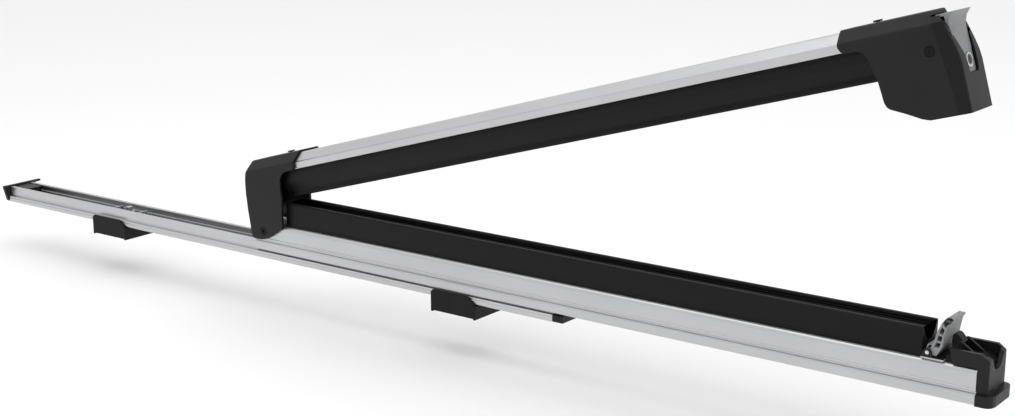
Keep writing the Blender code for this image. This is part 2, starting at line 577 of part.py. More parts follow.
def make_catch(frame, mats):
    x = SLIDE_FRONT
    low = SLIDE_TOP + GAP
    half = HALF - 0.2 * MM - CAP_WALL - GAP
    ramp = [
        (x - 23.2 * MM, low), (x + 4.6 * MM, low), (x + 4.6 * MM, CAP_TOP - 9.2 * MM),
        (x - 1.2 * MM, CAP_TOP - 6.4 * MM), (x - 15.4 * MM, CAP_TOP + 3.2 * MM),
        (x - 17.0 * MM, CAP_TOP + 3.2 * MM), (x - 23.2 * MM, CAP_TOP - 3.0 * MM),
    ]
    block = add_part("catch_block", prism([ramp], "Y", -half, half), mats["black_plastic"], frame)
    for low_y, high_y in ((-half - MM, -CATCH_HALF), (CATCH_HALF, half + MM)):
        combine(block, prism([box_outline(x - 24.0 * MM, x + 6.0 * MM, CAP_TOP - 6.0 * MM,
                                          CAP_TOP + 9 * MM)], "Y", low_y, high_y))
    slot_half = LATCH_HALF + 2.0 * MM
    combine(block, prism([box_outline(x - 18.0 * MM, x + 8 * MM, CAP_TOP - 5.2 * MM,
                                      CAP_TOP + 9 * MM)],
                         "Y", -slot_half, slot_half))
    nose_half = 4.0 * MM
    combine(block, prism([box_outline(x - 24.0 * MM, x - 17.9 * MM, CAP_TOP - 7.0 * MM,
                                      CAP_TOP + 9 * MM)],
                         "Y", -nose_half - GAP, nose_half + GAP))
    lip = CAP_TOP + 1.3 * MM
    nose = [
        (x - 23.0 * MM, CAP_TOP - 6.7 * MM), (x - 18.4 * MM, CAP_TOP - 6.7 * MM),
        (x - 18.4 * MM, lip), (x - 14.9 * MM, lip), (x - 14.9 * MM, lip + 0.7 * MM),
        (x - 18.8 * MM, lip + 5.0 * MM), (x - 20.4 * MM, lip + 6.0 * MM), (x - 22.2 * MM, lip + 5.2 * MM),
        (x - 23.0 * MM, lip + 2.9 * MM),
    ]
    add_part("striker", prism([nose], "Y", -nose_half, nose_half), mats["black_steel"], frame)


# ---------------------------------------------------------------- release lever

def lever_outline():
    """Side view of the lever: a slightly curved paddle over its pivot."""
    left = [(-38.2, 35.2), (-36.0, 42.6), (-32.6, 43.2), (-31.2, 47.0), (-30.2, 51.0), (-28.2, 57.2),
            (-26.0, 61.0), (-22.6, 63.8), (-20.6, 64.2)]
    right = [(-17.6, 63.6), (-18.2, 62.0), (-20.8, 60.6), (-22.6, 57.8), (-24.2, 53.0),
             (-25.1, 47.8), (-25.8, 42.2), (-29.6, 35.2)]
    return points(left + right, SLIDE_FRONT)


def lever_pockets():
    """The hollows in the lever's sides, between its two ribs."""
    outer = [(-31.8, 40.6), (-30.0, 45.4), (-29.0, 50.6), (-27.0, 56.6), (-24.9, 60.0), (-22.4, 62.4)]
    inner = [(-28.2, 40.6), (-26.8, 45.0), (-26.0, 50.0), (-24.8, 54.6), (-23.0, 58.8), (-21.2, 61.4)]
    rung = 0.12
    pockets = []
    for i in range(len(outer) - 1):
        a, b, c, d = (Vector(p) for p in (outer[i], outer[i + 1], inner[i + 1], inner[i]))
        loop = [a.lerp(b, rung), b.lerp(a, rung), c.lerp(d, rung), d.lerp(c, rung)]
        pockets.append(points([tuple(p) for p in loop], SLIDE_FRONT))
    return pockets


def make_lever(frame, slide_frame, mats):
    offset = (SLIDE_FRONT + LEVER_PIN[0], LEVER_PIN[1])
    lever = add_part("release_lever", prism([lever_outline()], "Y", -LEVER_HALF, LEVER_HALF),
                     mats["grey_plastic"], frame, offset)
    leg = box_outline(offset[0] - LEVER_LEG / 2, offset[0] + LEVER_LEG / 2, CHAMBER_BOTTOM + 3.0 * MM,
                      LEVER_PIN[1])
    combine(lever, prism([leg], "Y", -LEVER_LEG_HALF, LEVER_LEG_HALF), "UNION", offset)
    window = points([(-36.4, 39.9), (-33.8, 39.9), (-33.1, 42.4), (-34.8, 42.4)], SLIDE_FRONT)
    combine(lever, prism([window], "Y", -LEVER_HALF - MM, LEVER_HALF + MM), offset=offset)
    for low, high in ((-LEVER_HALF - MM, -LEVER_HALF + 6.5 * MM),
                      (LEVER_HALF - 6.5 * MM, LEVER_HALF + MM)):
        combine(lever, prism(lever_pockets(), "Y", low, high), offset=offset)
    combine(lever, rod("Y", offset, LEVER_PIN_RADIUS + GAP, -LEVER_HALF - MM, LEVER_HALF + MM),
            offset=offset)
    corner = [(LEVER_HALF + MM, 51.0 * MM), (LEVER_HALF + MM, 66.0 * MM), (8.6 * MM, 66.0 * MM),
              (9.2 * MM, 63.4 * MM), (11.4 * MM, 59.4 * MM), (LEVER_HALF - 0.5 * MM, 54.4 * MM)]
    mirrored = [(-y, z) for y, z in corner]
    for outline in (corner, mirrored):
        combine(lever, prism([outline], "X", offset[0] - MM, SLIDE_FRONT), offset=offset)

    x = SLIDE_FRONT
    low = SLIDE_TOP + GAP
    top = low + 1.3 * MM
    inner = LEVER_HALF + 0.6 * MM
    outer = inner + 1.4 * MM
    floor_half = outer + 0.4 * MM
    side = [(x - 39.7 * MM, low), (x - 23.8 * MM, low), (x - 23.8 * MM, top), (x - 31.8 * MM, top),
            (x - 32.6 * MM, top + 3.6 * MM), (x - 34.0 * MM, top + 5.6 * MM),
            (x - 37.2 * MM, top + 5.6 * MM), (x - 38.6 * MM, top + 3.6 * MM), (x - 39.4 * MM, top),
            (x - 39.7 * MM, top)]
    base = add_part("lever_base", prism([side], "Y", -floor_half, floor_half), mats["black_plastic"],
                    slide_frame)
    for low_y, high_y in ((-HALF, -outer), (outer, HALF)):
        combine(base, prism([box_outline(x - 45 * MM, x - 20 * MM, top, top + 8 * MM)],
                            "Y", low_y, high_y))
    combine(base, prism([box_outline(x - 45 * MM, x - 20 * MM, top, top + 8 * MM)], "Y", -inner, inner))
    combine(base, rod("Y", offset, LEVER_PIN_RADIUS + GAP, -HALF, HALF))
    combine(base, prism([lever_window()], "Z", low - MM, top + MM))
    add_part("lever_pin", rod("Y", offset, LEVER_PIN_RADIUS, -outer + GAP, outer - GAP),
             mats["zinc"], slide_frame, smooth=True)


def lever_window():
    """Plan of the opening that the lever's leg passes through."""
    centre = SLIDE_FRONT + LEVER_PIN[0]
    half = LEVER_LEG / 2 + 3.0 * MM
    return box_outline(centre - half, centre + half, -LEVER_LEG_HALF - GAP, LEVER_LEG_HALF + GAP)


def make_slide_lock(frame, rod_frame, plunger_frame, mats):
    """The rod that the lever pulls, and the plunger that the rod lifts."""
    low_z, high_z = CHAMBER_BOTTOM + 2.0 * MM, CHAMBER_BOTTOM + 6.0 * MM
    leg_x = SLIDE_FRONT + LEVER_PIN[0] + LEVER_LEG / 2 + GAP
    near_y = LEVER_LEG_HALF + 2.0 * MM
    far_y = PLUNGER_Y - PLUNGER_HEAD_RADIUS - GAP
    plan = [
        (PLUNGER_X - 8.0 * MM, near_y), (leg_x, near_y), (leg_x, -LEVER_LEG_HALF),
        (leg_x + 2.5 * MM, -LEVER_LEG_HALF), (leg_x + 2.5 * MM, far_y), (PLUNGER_X - 8.0 * MM, far_y),
    ]
    add_part("pull_rod", prism([plan], "Z", low_z, high_z), mats["zinc"], rod_frame)
    pin = stepped_rod("Z", (PLUNGER_X, PLUNGER_Y), [
        (PLUNGER_RADIUS, BASE_HEIGHT + GAP, CHAMBER_BOTTOM + GAP),
        (PLUNGER_HEAD_RADIUS, CHAMBER_BOTTOM + GAP, CHAMBER_BOTTOM + 6.5 * MM),
    ])
    add_part("slide_lock_plunger", pin, mats["zinc"], plunger_frame, smooth=True)


# ---------------------------------------------------------------- arm

def arm_section(grow=0.0):
    """Outline of the arm rail, (across, square to the arm), grown by a clearance."""
    half = [
        (0.0, ARM_BOTTOM - grow), (HALF + grow, ARM_BOTTOM - grow), (HALF + grow, ARM_RIDGE),
        (ARM_TOP_HALF + 1.2 * grow, ARM_TOP + grow), (0.0, ARM_TOP + grow),
    ]
    return ring_from_half(half)


def cover_section(low):
    """Outline of the hinge bracket and the lock housing, seen along the arm."""
    half = [
        (0.0, low), (CHEEK_OUTER, low), (CHEEK_OUTER, HOUSING_CREASE - 0.8 * MM),
        (CHEEK_OUTER - 0.5 * MM, HOUSING_CREASE + 0.4 * MM),
        (BRACKET_TOP_HALF + 0.6 * MM, HOUSING_TOP - 0.5 * MM),
        (BRACKET_TOP_HALF - 0.8 * MM, HOUSING_TOP), (0.0, HOUSING_TOP),
    ]
    return ring_from_half(half)


def make_arm_rail(frame, mats):
    slot_roof = ARM_BOTTOM + SLOT_LIP + SLOT_HEIGHT
    wall_half = HALF - ARM_WALL
    half = [
        (0.0, slot_roof), (SLOT_HALF, slot_roof), (SLOT_HALF, ARM_BOTTOM + SLOT_LIP),
        (SLOT_MOUTH_HALF, ARM_BOTTOM + SLOT_LIP), (SLOT_MOUTH_HALF, ARM_BOTTOM),
        (HALF - 0.5 * MM, ARM_BOTTOM), (HALF, ARM_BOTTOM + 0.5 * MM), (HALF, ARM_RIDGE - 0.6 * MM),
        (HALF - 0.4 * MM, ARM_RIDGE + 0.3 * MM), (ARM_TOP_HALF + 0.7 * MM, ARM_TOP - 0.6 * MM),
        (ARM_TOP_HALF - 0.5 * MM, ARM_TOP), (0.0, ARM_TOP),
    ]
    chamber = [
        (0.0, slot_roof + ARM_WALL), (wall_half, slot_roof + ARM_WALL), (wall_half, ARM_RIDGE - 0.5 * MM),
        (ARM_TOP_HALF - 0.9 * MM, ARM_TOP - ARM_WALL), (0.0, ARM_TOP - ARM_WALL),
    ]
    add_part("arm_rail", prism([ring_from_half(half), ring_from_half(chamber)], "X", ARM_START, ARM_END),
             mats["aluminium"], frame)


def make_upper_pad(frame, mats):
    slot_low = ARM_BOTTOM + SLOT_LIP
    roof = slot_low + SLOT_HEIGHT
    tip = ARM_BOTTOM - UPPER_PAD_DEPTH
    nose = UPPER_PAD_NOSE
    half = [
        (0.0, roof - GAP), (SLOT_HALF - GAP, roof - GAP), (SLOT_HALF - GAP, slot_low + GAP),
        (SLOT_MOUTH_HALF - GAP, slot_low + GAP), (SLOT_MOUTH_HALF - GAP, ARM_BOTTOM - GAP),
        (PAD_HALF, ARM_BOTTOM - GAP), (PAD_HALF, tip + 14.0 * MM), (nose + 0.1 * MM, tip + 5.8 * MM),
        (nose, tip + 0.9 * MM), (nose - 0.9 * MM, tip), (nose - 2.8 * MM, tip),
        (nose - 4.2 * MM, tip + 3.4 * MM), (0.0, tip + 5.0 * MM),
    ]
    start = 31.5 * MM
    add_part("upper_pad", prism([ring_from_half(half)], "X", start, ARM_FACE - 56.5 * MM),
             mats["rubber"], frame)


def make_hinge_bracket(frame, mats):
    back = [(-8.5, 44.9), (-10.9, 34.3), (-12.9, 20.9), (-14.3, 7.4), (-15.4, -1.0), (-13.6, -4.6),
            (-10.4, -5.9), (-4.3, -7.3), (2.0, -7.5), (7.0, -6.6), (16.3, -3.9), (21.6, -1.4),
            (24.4, 1.6), (30.0, 19.6), (32.5, 32.6)]
    top = [(34.8, -6.1), (37.7, -2.4), (42.3, -0.4), (53.3, -0.1), (54.4, 1.1), (54.8, 6.5),
           (60.4, 16.7), (1.6, 16.7), (-1.2, 13.6), (-4.2, 8.4), (-6.8, 2.7)]
    bracket = add_part("hinge_bracket",
                       prism([points(back) + points(top, 0.0, ARM_BOTTOM)], "Y", -CHEEK_OUTER, CHEEK_OUTER),
                       mats["black_plastic"], frame)
    combine(bracket, prism([cover_section(-40 * MM)], "X", -40 * MM, 90 * MM), "INTERSECT")
    combine(bracket, prism([arm_section(GAP)], "X", ARM_START - GAP, 90 * MM))
    inside = points([(-8.5, 33.8), (-10.5, 21.0), (-10.9, 16.0), (-20.0, 16.0), (-20.0, -20.0),
                     (60.0, -20.0)])
    inside += points([(60.0, 0.1), (11.0, 0.1), (11.0, 4.6), (-2.0, 4.6), (-4.9, 1.3), (-6.1, -3.0)],
                     0.0, ARM_BOTTOM)
    combine(bracket, prism([inside], "Y", -CHEEK_INNER, CHEEK_INNER))
    combine(bracket, rod("Y", (0.0, 0.0), PIVOT_RADIUS + GAP, -CHEEK_OUTER - MM, CHEEK_OUTER + MM))
    sink = CHEEK_OUTER - SCREW_SINK
    for low, high in ((-CHEEK_OUTER - MM, -sink), (sink, CHEEK_OUTER + MM)):
        combine(bracket, rod("Y", (0.0, 0.0), SCREW_HEAD + GAP, low, high))
    combine(bracket, rod("Z", (38.0 * MM, 0.0), TOP_SCREW_RADIUS + GAP, ARM_TOP - MM, HOUSING_TOP + MM))


def make_hinge_fasteners(frame, mats):
    head_y = CHEEK_OUTER - SCREW_SINK + GAP
    screw = stepped_rod("Y", (0.0, 0.0), [
        (SCREW_HEAD, -CHEEK_OUTER + 0.2 * MM, -head_y), (PIVOT_RADIUS, -head_y, head_y - 0.1 * MM),
    ])
    part = add_part("pivot_screw", screw, mats["black_steel"], frame, smooth=True)
    combine(part, drive_recess("Y", (0.0, 0.0), 1.6 * MM, -CHEEK_OUTER, -CHEEK_OUTER + 1.0 * MM))
    nut = add_part("pivot_nut", rod("Y", (0.0, 0.0), SCREW_HEAD, head_y, CHEEK_OUTER - 0.2 * MM),
                   mats["black_steel"], frame, smooth=True)
    combine(nut, drive_recess("Y", (0.0, 0.0), 1.6 * MM, CHEEK_OUTER - 0.8 * MM, CHEEK_OUTER))
    for name, x in (("bracket_screw", 38.0 * MM), ("housing_top_screw", ARM_FACE - 59.5 * MM)):
        head = stepped_rod("Z", (x, 0.0), [
            (TOP_SCREW_RADIUS, ARM_TOP + GAP, HOUSING_TOP + GAP),
            (3.2 * MM, HOUSING_TOP + GAP, HOUSING_TOP + 1.5 * MM),
        ])
        part = add_part(name, head, mats["black_steel"], frame, smooth=True)
        combine(part, drive_recess("Z", (x, 0.0), 1.5 * MM, HOUSING_TOP + 0.8 * MM, HOUSING_TOP + 3 * MM))


# ---------------------------------------------------------------- lock housing

def housing_plan(inset, back):
    """Plan of the housing's end, inset by a wall and cut off behind its face."""
    half = CHEEK_OUTER - inset
    face = ARM_FACE - inset
    side = [
        (ARM_FACE - back, half), (face - 10.5 * MM, half), (face - 1.8 * MM, half - 0.7 * MM),
        (face - 0.6 * MM, half - 1.2 * MM), (face, half - 2.4 * MM),
    ]
    return side + [(face + 0.1 * MM, 0.0)] + [(u, -v) for u, v in reversed(side)]


def housing_outline():
    low = [(29.4, -7.0), (34.6, -5.3), (45.4, 0.2), (55.1, 4.6), (57.0, 6.2), (58.4, 9.5),
           (59.6, 23.9), (61.0, 30.0), (62.4, 36.6)]
    high = [(64.2, -5.7), (67.0, -2.1), (70.8, -0.5), (75.5, -0.6), (79.4, -0.3), (81.6, 0.9),
            (83.3, 4.3), (83.2, 6.7), (82.2, 14.0), (81.4, 16.7)]
    right = [(-9.0, 16.7), (-9.0, HOUSING_BOTTOM / MM - ARM_BOTTOM / MM)]
    shape = from_face(low) + from_face(high, ARM_BOTTOM)
    return shape + from_face(right, ARM_BOTTOM) + [(ARM_FACE - 29.4 * MM, HOUSING_BOTTOM)]


def from_face(pairs, v0=0.0):
    """Millimetre pairs counted back from the housing's end face."""
    return [(ARM_FACE - u * MM, v0 + v * MM) for u, v in pairs]


def face_levels(top):
    """Heights and setbacks of the housing's curved end face."""
    rise = ARM_BOTTOM - 47.3 * MM
    steps = [(25.0, 0.0), (32.0, -0.8), (39.0, -2.4), (49.0, -5.2), (54.4, -7.1), (58.5, -9.9),
             (61.2, -13.5), (62.8, -18.3)]
    levels = [(-20.0 * MM, -FACE_INSET)]
    levels += [(v * MM + rise, u * MM - FACE_INSET) for v, u in steps if v * MM + rise < top]
    return levels + [(top, levels[-1][1])]


def button_half(grow):
    """Right half of the button's outline, (across, up), grown by a clearance."""
    rise = ARM_BOTTOM - 47.3 * MM
    return [
        (0.0, BUTTON_FOOT - grow), (6.0 * MM + grow, BUTTON_FOOT - grow),
        (7.4 * MM + grow, BUTTON_FOOT + 1.8 * MM), (8.8 * MM + grow, 31.0 * MM),
        (12.2 * MM + grow, 42.0 * MM + rise), (14.4 * MM + grow, 54.0 * MM + rise),
        (BUTTON_TOP_HALF + grow, 57.0 * MM + rise),
    ]


def make_housing(frame, mats):
    housing = add_part("lock_housing", prism([housing_outline()], "Y", -CHEEK_OUTER, CHEEK_OUTER),
                       mats["black_plastic"], frame)
    combine(housing, prism([cover_section(-40 * MM)], "X", ARM_FACE - 120 * MM, ARM_FACE + 20 * MM),
            "INTERSECT")
    combine(housing, loft(housing_plan(0.0, 120 * MM), face_levels(HOUSING_TOP + 3 * MM)),
            "INTERSECT")
    combine(housing, prism([arm_section(GAP)], "X", ARM_FACE - 90 * MM, ARM_END + GAP))
    chamber = from_face([(90.0, -12.0), (27.2, -12.0)]) + from_face([(27.2, 0.3), (90.0, 0.3)], ARM_BOTTOM)
    combine(housing, prism([chamber], "Y", -CHEEK_INNER, CHEEK_INNER))
    nose = loft(housing_plan(HOUSING_WALL, 33.8 * MM), face_levels(ARM_BOTTOM - 0.8 * MM))
    combine(housing, nose)
    attic = from_face([(27.2, -1.5), (27.2, 12.2), (15.0, 12.2), (15.0, 11.0), (11.0, 4.0),
                       (8.6, -1.5)], ARM_BOTTOM)
    combine(housing, prism([attic], "Y", -ATTIC_HALF, ATTIC_HALF))
    window = button_half(GAP) + [(BUTTON_TOP_HALF + GAP, HOUSING_TOP + MM), (0.0, HOUSING_TOP + MM)]
    combine(housing, prism([ring_from_half(window)], "X", ARM_FACE - 17.0 * MM, ARM_FACE + 9 * MM))
    drill_housing(housing)


def drill_housing(housing):
    latch = from_face([LATCH_PIVOT])[0]
    pawl = from_face([PAWL_PIVOT], ARM_BOTTOM)[0]
    low, high = -CHEEK_OUTER - MM, CHEEK_OUTER + MM
    combine(housing, rod("Y", latch, LATCH_PIN_RADIUS + GAP, low, high))
    combine(housing, rod("Y", latch, SCREW_HEAD + GAP, low, -CHEEK_OUTER + SCREW_SINK))
    combine(housing, rod("Y", pawl, PAWL_PIN_RADIUS + GAP, -ATTIC_HALF - 2 * MM, ATTIC_HALF + 2 * MM))
    combine(housing, rod("Z", (ARM_FACE - 59.5 * MM, 0.0), TOP_SCREW_RADIUS + GAP, ARM_TOP - MM,
                         HOUSING_TOP + MM))


def make_lock_pins(frame, mats):
    latch = from_face([LATCH_PIVOT])[0]
    head_y = CHEEK_OUTER - SCREW_SINK + GAP
    pin = stepped_rod("Y", latch, [
        (SCREW_HEAD, -CHEEK_OUTER + 0.2 * MM, -head_y), (LATCH_PIN_RADIUS, -head_y, CHEEK_OUTER - MM),
    ])
    part = add_part("latch_pin", pin, mats["black_steel"], frame, smooth=True)
    combine(part, drive_recess("Y", latch, 1.6 * MM, -CHEEK_OUTER, -head_y - 0.4 * MM))
    pawl = from_face([PAWL_PIVOT], ARM_BOTTOM)[0]
    add_part("pawl_pin", rod("Y", pawl, PAWL_PIN_RADIUS, -ATTIC_HALF - 1.6 * MM, ATTIC_HALF + 1.6 * MM),
             mats["zinc"], frame, smooth=True)


def make_latch_hook(frame, mats):
    """The hook, drawn as it sits under the striker and about its own pivot."""
    reach = math.hypot(8.7, 18.6)
    leg = [(-8.3, -reach + 1.9), (-8.3, -22.4), (-6.0, -23.4), (1.0, -22.6), (2.6, -20.0),
           (2.6, -10.0), (3.8, 0.0), (2.8, 3.6), (0.0, 4.8), (-2.8, 3.6), (-3.6, 0.0), (-1.8, -8.0),
           (-1.2, -15.0), (-1.8, -19.6)]
    toe = [(-reach * math.sin(math.radians(a)), -reach * math.cos(math.radians(a)))
           for a in (9.0, 14.0, 19.0)]
    hook = prism([points(leg + toe)], "Y", -LATCH_HALF, LATCH_HALF)
    part = add_part("latch_hook", hook, mats["black_steel"], frame)
    combine(part, rod("Y", (0.0, 0.0), LATCH_PIN_RADIUS + GAP, -LATCH_HALF - MM, LATCH_HALF + MM))


def make_pawl(frame, mats):
    outline = [(-4.2, -2.2), (-2.6, -4.2), (1.2, -2.6), (3.4, -0.4), (5.0, 3.0), (6.2, 6.2),
               (4.0, 6.5), (2.0, 3.4), (-0.8, 2.4), (-2.6, 0.4)]
    part = add_part("release_pawl", prism([points(outline)], "Y", -LATCH_HALF, LATCH_HALF),
                    mats["black_steel"], frame)
    combine(part, rod("Y", (0.0, 0.0), PAWL_PIN_RADIUS + GAP, -LATCH_HALF - MM, LATCH_HALF + MM))


def button_levels(top):
    rise = ARM_BOTTOM - 47.3 * MM
    steps = [(24.5, -3.0), (34.6, -3.9), (44.0, -5.4), (50.0, -5.8), (55.0, -4.2), (59.0, -0.8)]
    levels = [(BUTTON_FOOT, -2.7 * MM)] + [(v * MM + rise, u * MM) for v, u in steps]
    inside = [level for level in levels if level[0] < top]
    return inside + [(top, inside[-1][1])]


def make_button(frame, lock_frame, mats):
    rise = ARM_BOTTOM - 47.3 * MM
    top = 59.0 * MM + rise
    under = top - 1.7 * MM
    outline = button_half(0.0) + [(BUTTON_TOP_HALF, top), (0.0, top)]
    button = add_part("push_button", prism([ring_from_half(outline)], "X", ARM_FACE - 13.0 * MM,
                                           ARM_FACE + 8 * MM), mats["grey_plastic"], frame)
    combine(button, loft(housing_plan(0.0, 30.0 * MM), button_levels(top + MM)), "INTERSECT")
    combine(button, loft(housing_plan(BUTTON_THICKNESS, 30.0 * MM),
                         [(BUTTON_FOOT - MM, -2.7 * MM)] + button_levels(under)))
    pawl = from_face([PAWL_PIVOT], ARM_BOTTOM)[0]
    rib = box_outline(pawl[0] + 6.5 * MM, ARM_FACE - 6.3 * MM, pawl[1] + 2.6 * MM, pawl[1] + 5.6 * MM)
    combine(button, prism([rib], "Y", -2.5 * MM, 2.5 * MM), "UNION")
    combine(button, rod("X", (0.0, LOCK_HEIGHT), LOCK_RADIUS + GAP, ARM_FACE - 10 * MM, ARM_FACE + 9 * MM))
    barrel = stepped_rod("X", (0.0, LOCK_HEIGHT), [
        (LOCK_RADIUS - 0.8 * MM, ARM_FACE - 10.4 * MM, ARM_FACE - 6.4 * MM),
        (LOCK_RADIUS, ARM_FACE - 6.4 * MM, ARM_FACE - 2.4 * MM),
    ])
    part = add_part("lock_cylinder", barrel, mats["chrome"], lock_frame, smooth=True)
    key = box_outline(-0.5 * MM, 0.5 * MM, LOCK_HEIGHT - 2.2 * MM, LOCK_HEIGHT + 2.2 * MM)
    combine(part, prism([key], "X", ARM_FACE - 4.7 * MM, ARM_FACE))


# ---------------------------------------------------------------- assembly

def make_materials():
    return {
        "aluminium": make_material("satin_aluminium", (0.76, 0.77, 0.78), 0.34, 1.0),
        "black_plastic": make_material("black_plastic", (0.024, 0.025, 0.027), 0.5, 0.0),
        "grey_plastic": make_material("grey_plastic", (0.24, 0.245, 0.25), 0.45, 0.0),
        "rubber": make_material("black_rubber", (0.014, 0.014, 0.015), 0.8, 0.0),
        "glide": make_material("glide_plastic", (0.6, 0.6, 0.58), 0.4, 0.0),
        "zinc": make_material("zinc_steel", (0.66, 0.67, 0.68), 0.3, 1.0),
        "black_steel": make_material("black_steel", (0.05, 0.05, 0.055), 0.4, 1.0),
        "chrome": make_material("chrome", (0.85, 0.85, 0.86), 0.12, 1.0),
    }


def build_base(base, mats):
    make_base(base, mats)
    make_rear_cap(base, mats)
    make_front_cap(base, mats)
    make_front_glides(base, mats)
    for prefix, x in (("front", 0.0), ("rear", -FOOT_PITCH)):
        make_foot(prefix, x, base, mats)
        make_clamp(prefix, x, base, mats)


def build_slide(slide, mats):
    make_slide_rail(slide, mats)
    make_slide_glides(slide, mats)
    make_hinge_block(slide, mats)
    make_lower_pad(slide, mats)
    make_outer_cap(slide, mats)
    make_catch(slide, mats)
    lever = make_frame("lever_axis", (SLIDE_FRONT + LEVER_PIN[0], 0.0, LEVER_PIN[1]), slide)
    make_lever(lever, slide, mats)
    rod_frame = make_frame("pull_rod_axis", (0.0, 0.0, 0.0), slide)
    plunger_frame = make_frame("plunger_axis", (0.0, 0.0, 0.0), slide)
    make_slide_lock(slide, rod_frame, plunger_frame, mats)


def build_arm(slide, mats):
    arm = make_frame("arm_axis", (HINGE_X, 0.0, HINGE_HEIGHT), slide, OPEN_ANGLE)
    make_arm_rail(arm, mats)
    make_upper_pad(arm, mats)
    make_hinge_bracket(arm, mats)
    make_hinge_fasteners(arm, mats)
    make_housing(arm, mats)
    make_lock_pins(arm, mats)
    latch = from_face([LATCH_PIVOT])[0]
    make_latch_hook(make_frame("latch_axis", (latch[0], 0.0, latch[1]), arm, LATCH_CLEAR), mats)
    pawl = from_face([PAWL_PIVOT], ARM_BOTTOM)[0]
    make_pawl(make_frame("pawl_axis", (pawl[0], 0.0, pawl[1]), arm), mats)
    button = make_frame("button_axis", (0.0, 0.0, 0.0), arm)
    make_button(button, make_frame("lock_axis", (0.0, 0.0, 0.0), button), mats)


def build():
    clear_scene()
    mats = make_materials()
    base = make_frame("ski_rack", (0.0, 0.0, FOOT_HEIGHT))
    build_base(base, mats)
    slide = make_frame("slide_axis", (0.0, 0.0, 0.0), base)
    build_slide(slide, mats)
    build_arm(slide, mats)


build()
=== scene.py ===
"""Looks of the pull-out roof ski rack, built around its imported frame. Metres, +Z up."""
import json
import math

import bmesh
import bpy
from mathutils import Matrix, Vector


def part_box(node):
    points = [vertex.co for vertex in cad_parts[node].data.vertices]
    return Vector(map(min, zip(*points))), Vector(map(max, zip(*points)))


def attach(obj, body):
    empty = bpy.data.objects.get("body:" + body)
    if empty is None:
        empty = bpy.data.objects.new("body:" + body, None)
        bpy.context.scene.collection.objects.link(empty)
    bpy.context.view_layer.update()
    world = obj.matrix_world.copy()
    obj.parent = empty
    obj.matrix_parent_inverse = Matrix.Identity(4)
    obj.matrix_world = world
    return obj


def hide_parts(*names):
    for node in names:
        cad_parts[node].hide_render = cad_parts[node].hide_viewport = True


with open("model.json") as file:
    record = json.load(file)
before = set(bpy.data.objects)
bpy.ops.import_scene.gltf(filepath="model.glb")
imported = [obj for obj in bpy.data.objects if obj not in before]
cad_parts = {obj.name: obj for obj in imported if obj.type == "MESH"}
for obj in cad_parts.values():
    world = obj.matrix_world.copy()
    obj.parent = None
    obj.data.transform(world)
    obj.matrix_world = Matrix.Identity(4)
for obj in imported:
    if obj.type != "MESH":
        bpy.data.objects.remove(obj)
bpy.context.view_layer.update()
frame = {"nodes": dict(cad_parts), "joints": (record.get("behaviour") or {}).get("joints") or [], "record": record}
NODES = frame["nodes"]

MM = 0.001
WELD_DISTANCE = 0.01 * MM
OPEN = math.radians(16.12)         # the arm's angle above the slide rail at rest

CAMERA_PLACE = Vector((0.8203, -1.04665, 0.4149))
CAMERA_AZIMUTH = 36.64
CAMERA_ELEVATION = 13.864
CAMERA_LENS = 59.76
SKY_LOW = 0.78                     # brightness of the studio at the horizon and overhead
SKY_HIGH = 1.0
OVERHEAD_POWER = 9.0


# ---------------------------------------------------------------- places

HINGE = Vector(next(j for j in frame["joints"] if j["name"] == "arm_hinge")["pos_m"])
ALONG = Vector((math.cos(OPEN), 0.0, math.sin(OPEN)))
ACROSS = Vector((0.0, 1.0, 0.0))
UP = Vector((-math.sin(OPEN), 0.0, math.cos(OPEN)))
PAD_LOW, PAD_HIGH = (Vector(corner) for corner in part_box("lower_pad"))
HOUSING_FACE = 0.6635              # metres from the hinge to the lock housing's end face

PAD_HALF_WIDTH = 12.7              # millimetres, as are the sizes below
PAD_DEPTH = 21.0                   # from the lower pad's top to its underside
UPPER_PAD_START = 31.5             # from the hinge
UPPER_PAD_END = 606.9
UPPER_PAD_DEPTH = 23.7
ARM_UNDERSIDE = 47.3               # above the hinge line

LEVER_FLOOR = 46.5 * MM            # height of the pale foot under the lever
GRIP_SETBACK = 4.6                 # from the flange's rim back to the cap's face
GRIP_TOP = 49.6                    # heights above the seat
GRIP_POINT = 27.5
GRIP_HALF = 12.4
GRIP_SLOPE = 0.55
GRIP_ROWS = 30
NOTCH_FLOOR = 41.6                 # above this, diamonds stand only beside the notch
NOTCH_HALF = 10.2
GRIP_RELIEF = 0.25                 # how far a diamond stands out

SOCKET_HALF = 12.0 * MM            # the lever's side pockets lie inside this half-width; the painted shade in them is bounded by it
KEY_FACE_RADIUS = 3.5 * MM
TIP_PLANES = (                     # the lever's tip ends at these: a point and a normal
    (Vector((419.9, 0.0, 72.0)) * MM, Vector((1.0, 0.0, 0.2))),
    (Vector((416.0, 0.0, 74.6)) * MM, Vector((0.1, 0.0, 1.0))),
)
BAND_LENGTH = 9.8 * MM             # length of the painted shade band at the lock housing's end, low on its side
BAND_SLOPE = 0.112                 # how much longer it grows with height
BAND_LEVEL = 5.0 * MM              # above the hinge line, where it starts to grow


def on_arm(a, y, v):
    """A place in millimetres along, across and above the hinge, in the arm's own directions."""
    return HINGE + (ALONG * a + ACROSS * y + UP * v) * MM


# ---------------------------------------------------------------- shader helpers

def shader(name, colour, roughness, metallic=0.0, specular=0.5):
    material = bpy.data.materials.new(name)
    material.use_nodes = True
    tree = material.node_tree
    bsdf = tree.nodes["Principled BSDF"]
    bsdf.inputs["Base Color"].default_value = (*colour, 1.0)
    bsdf.inputs["Roughness"].default_value = roughness
    bsdf.inputs["Metallic"].default_value = metallic
    bsdf.inputs["Specular IOR Level"].default_value = specular
    return material, tree, bsdf


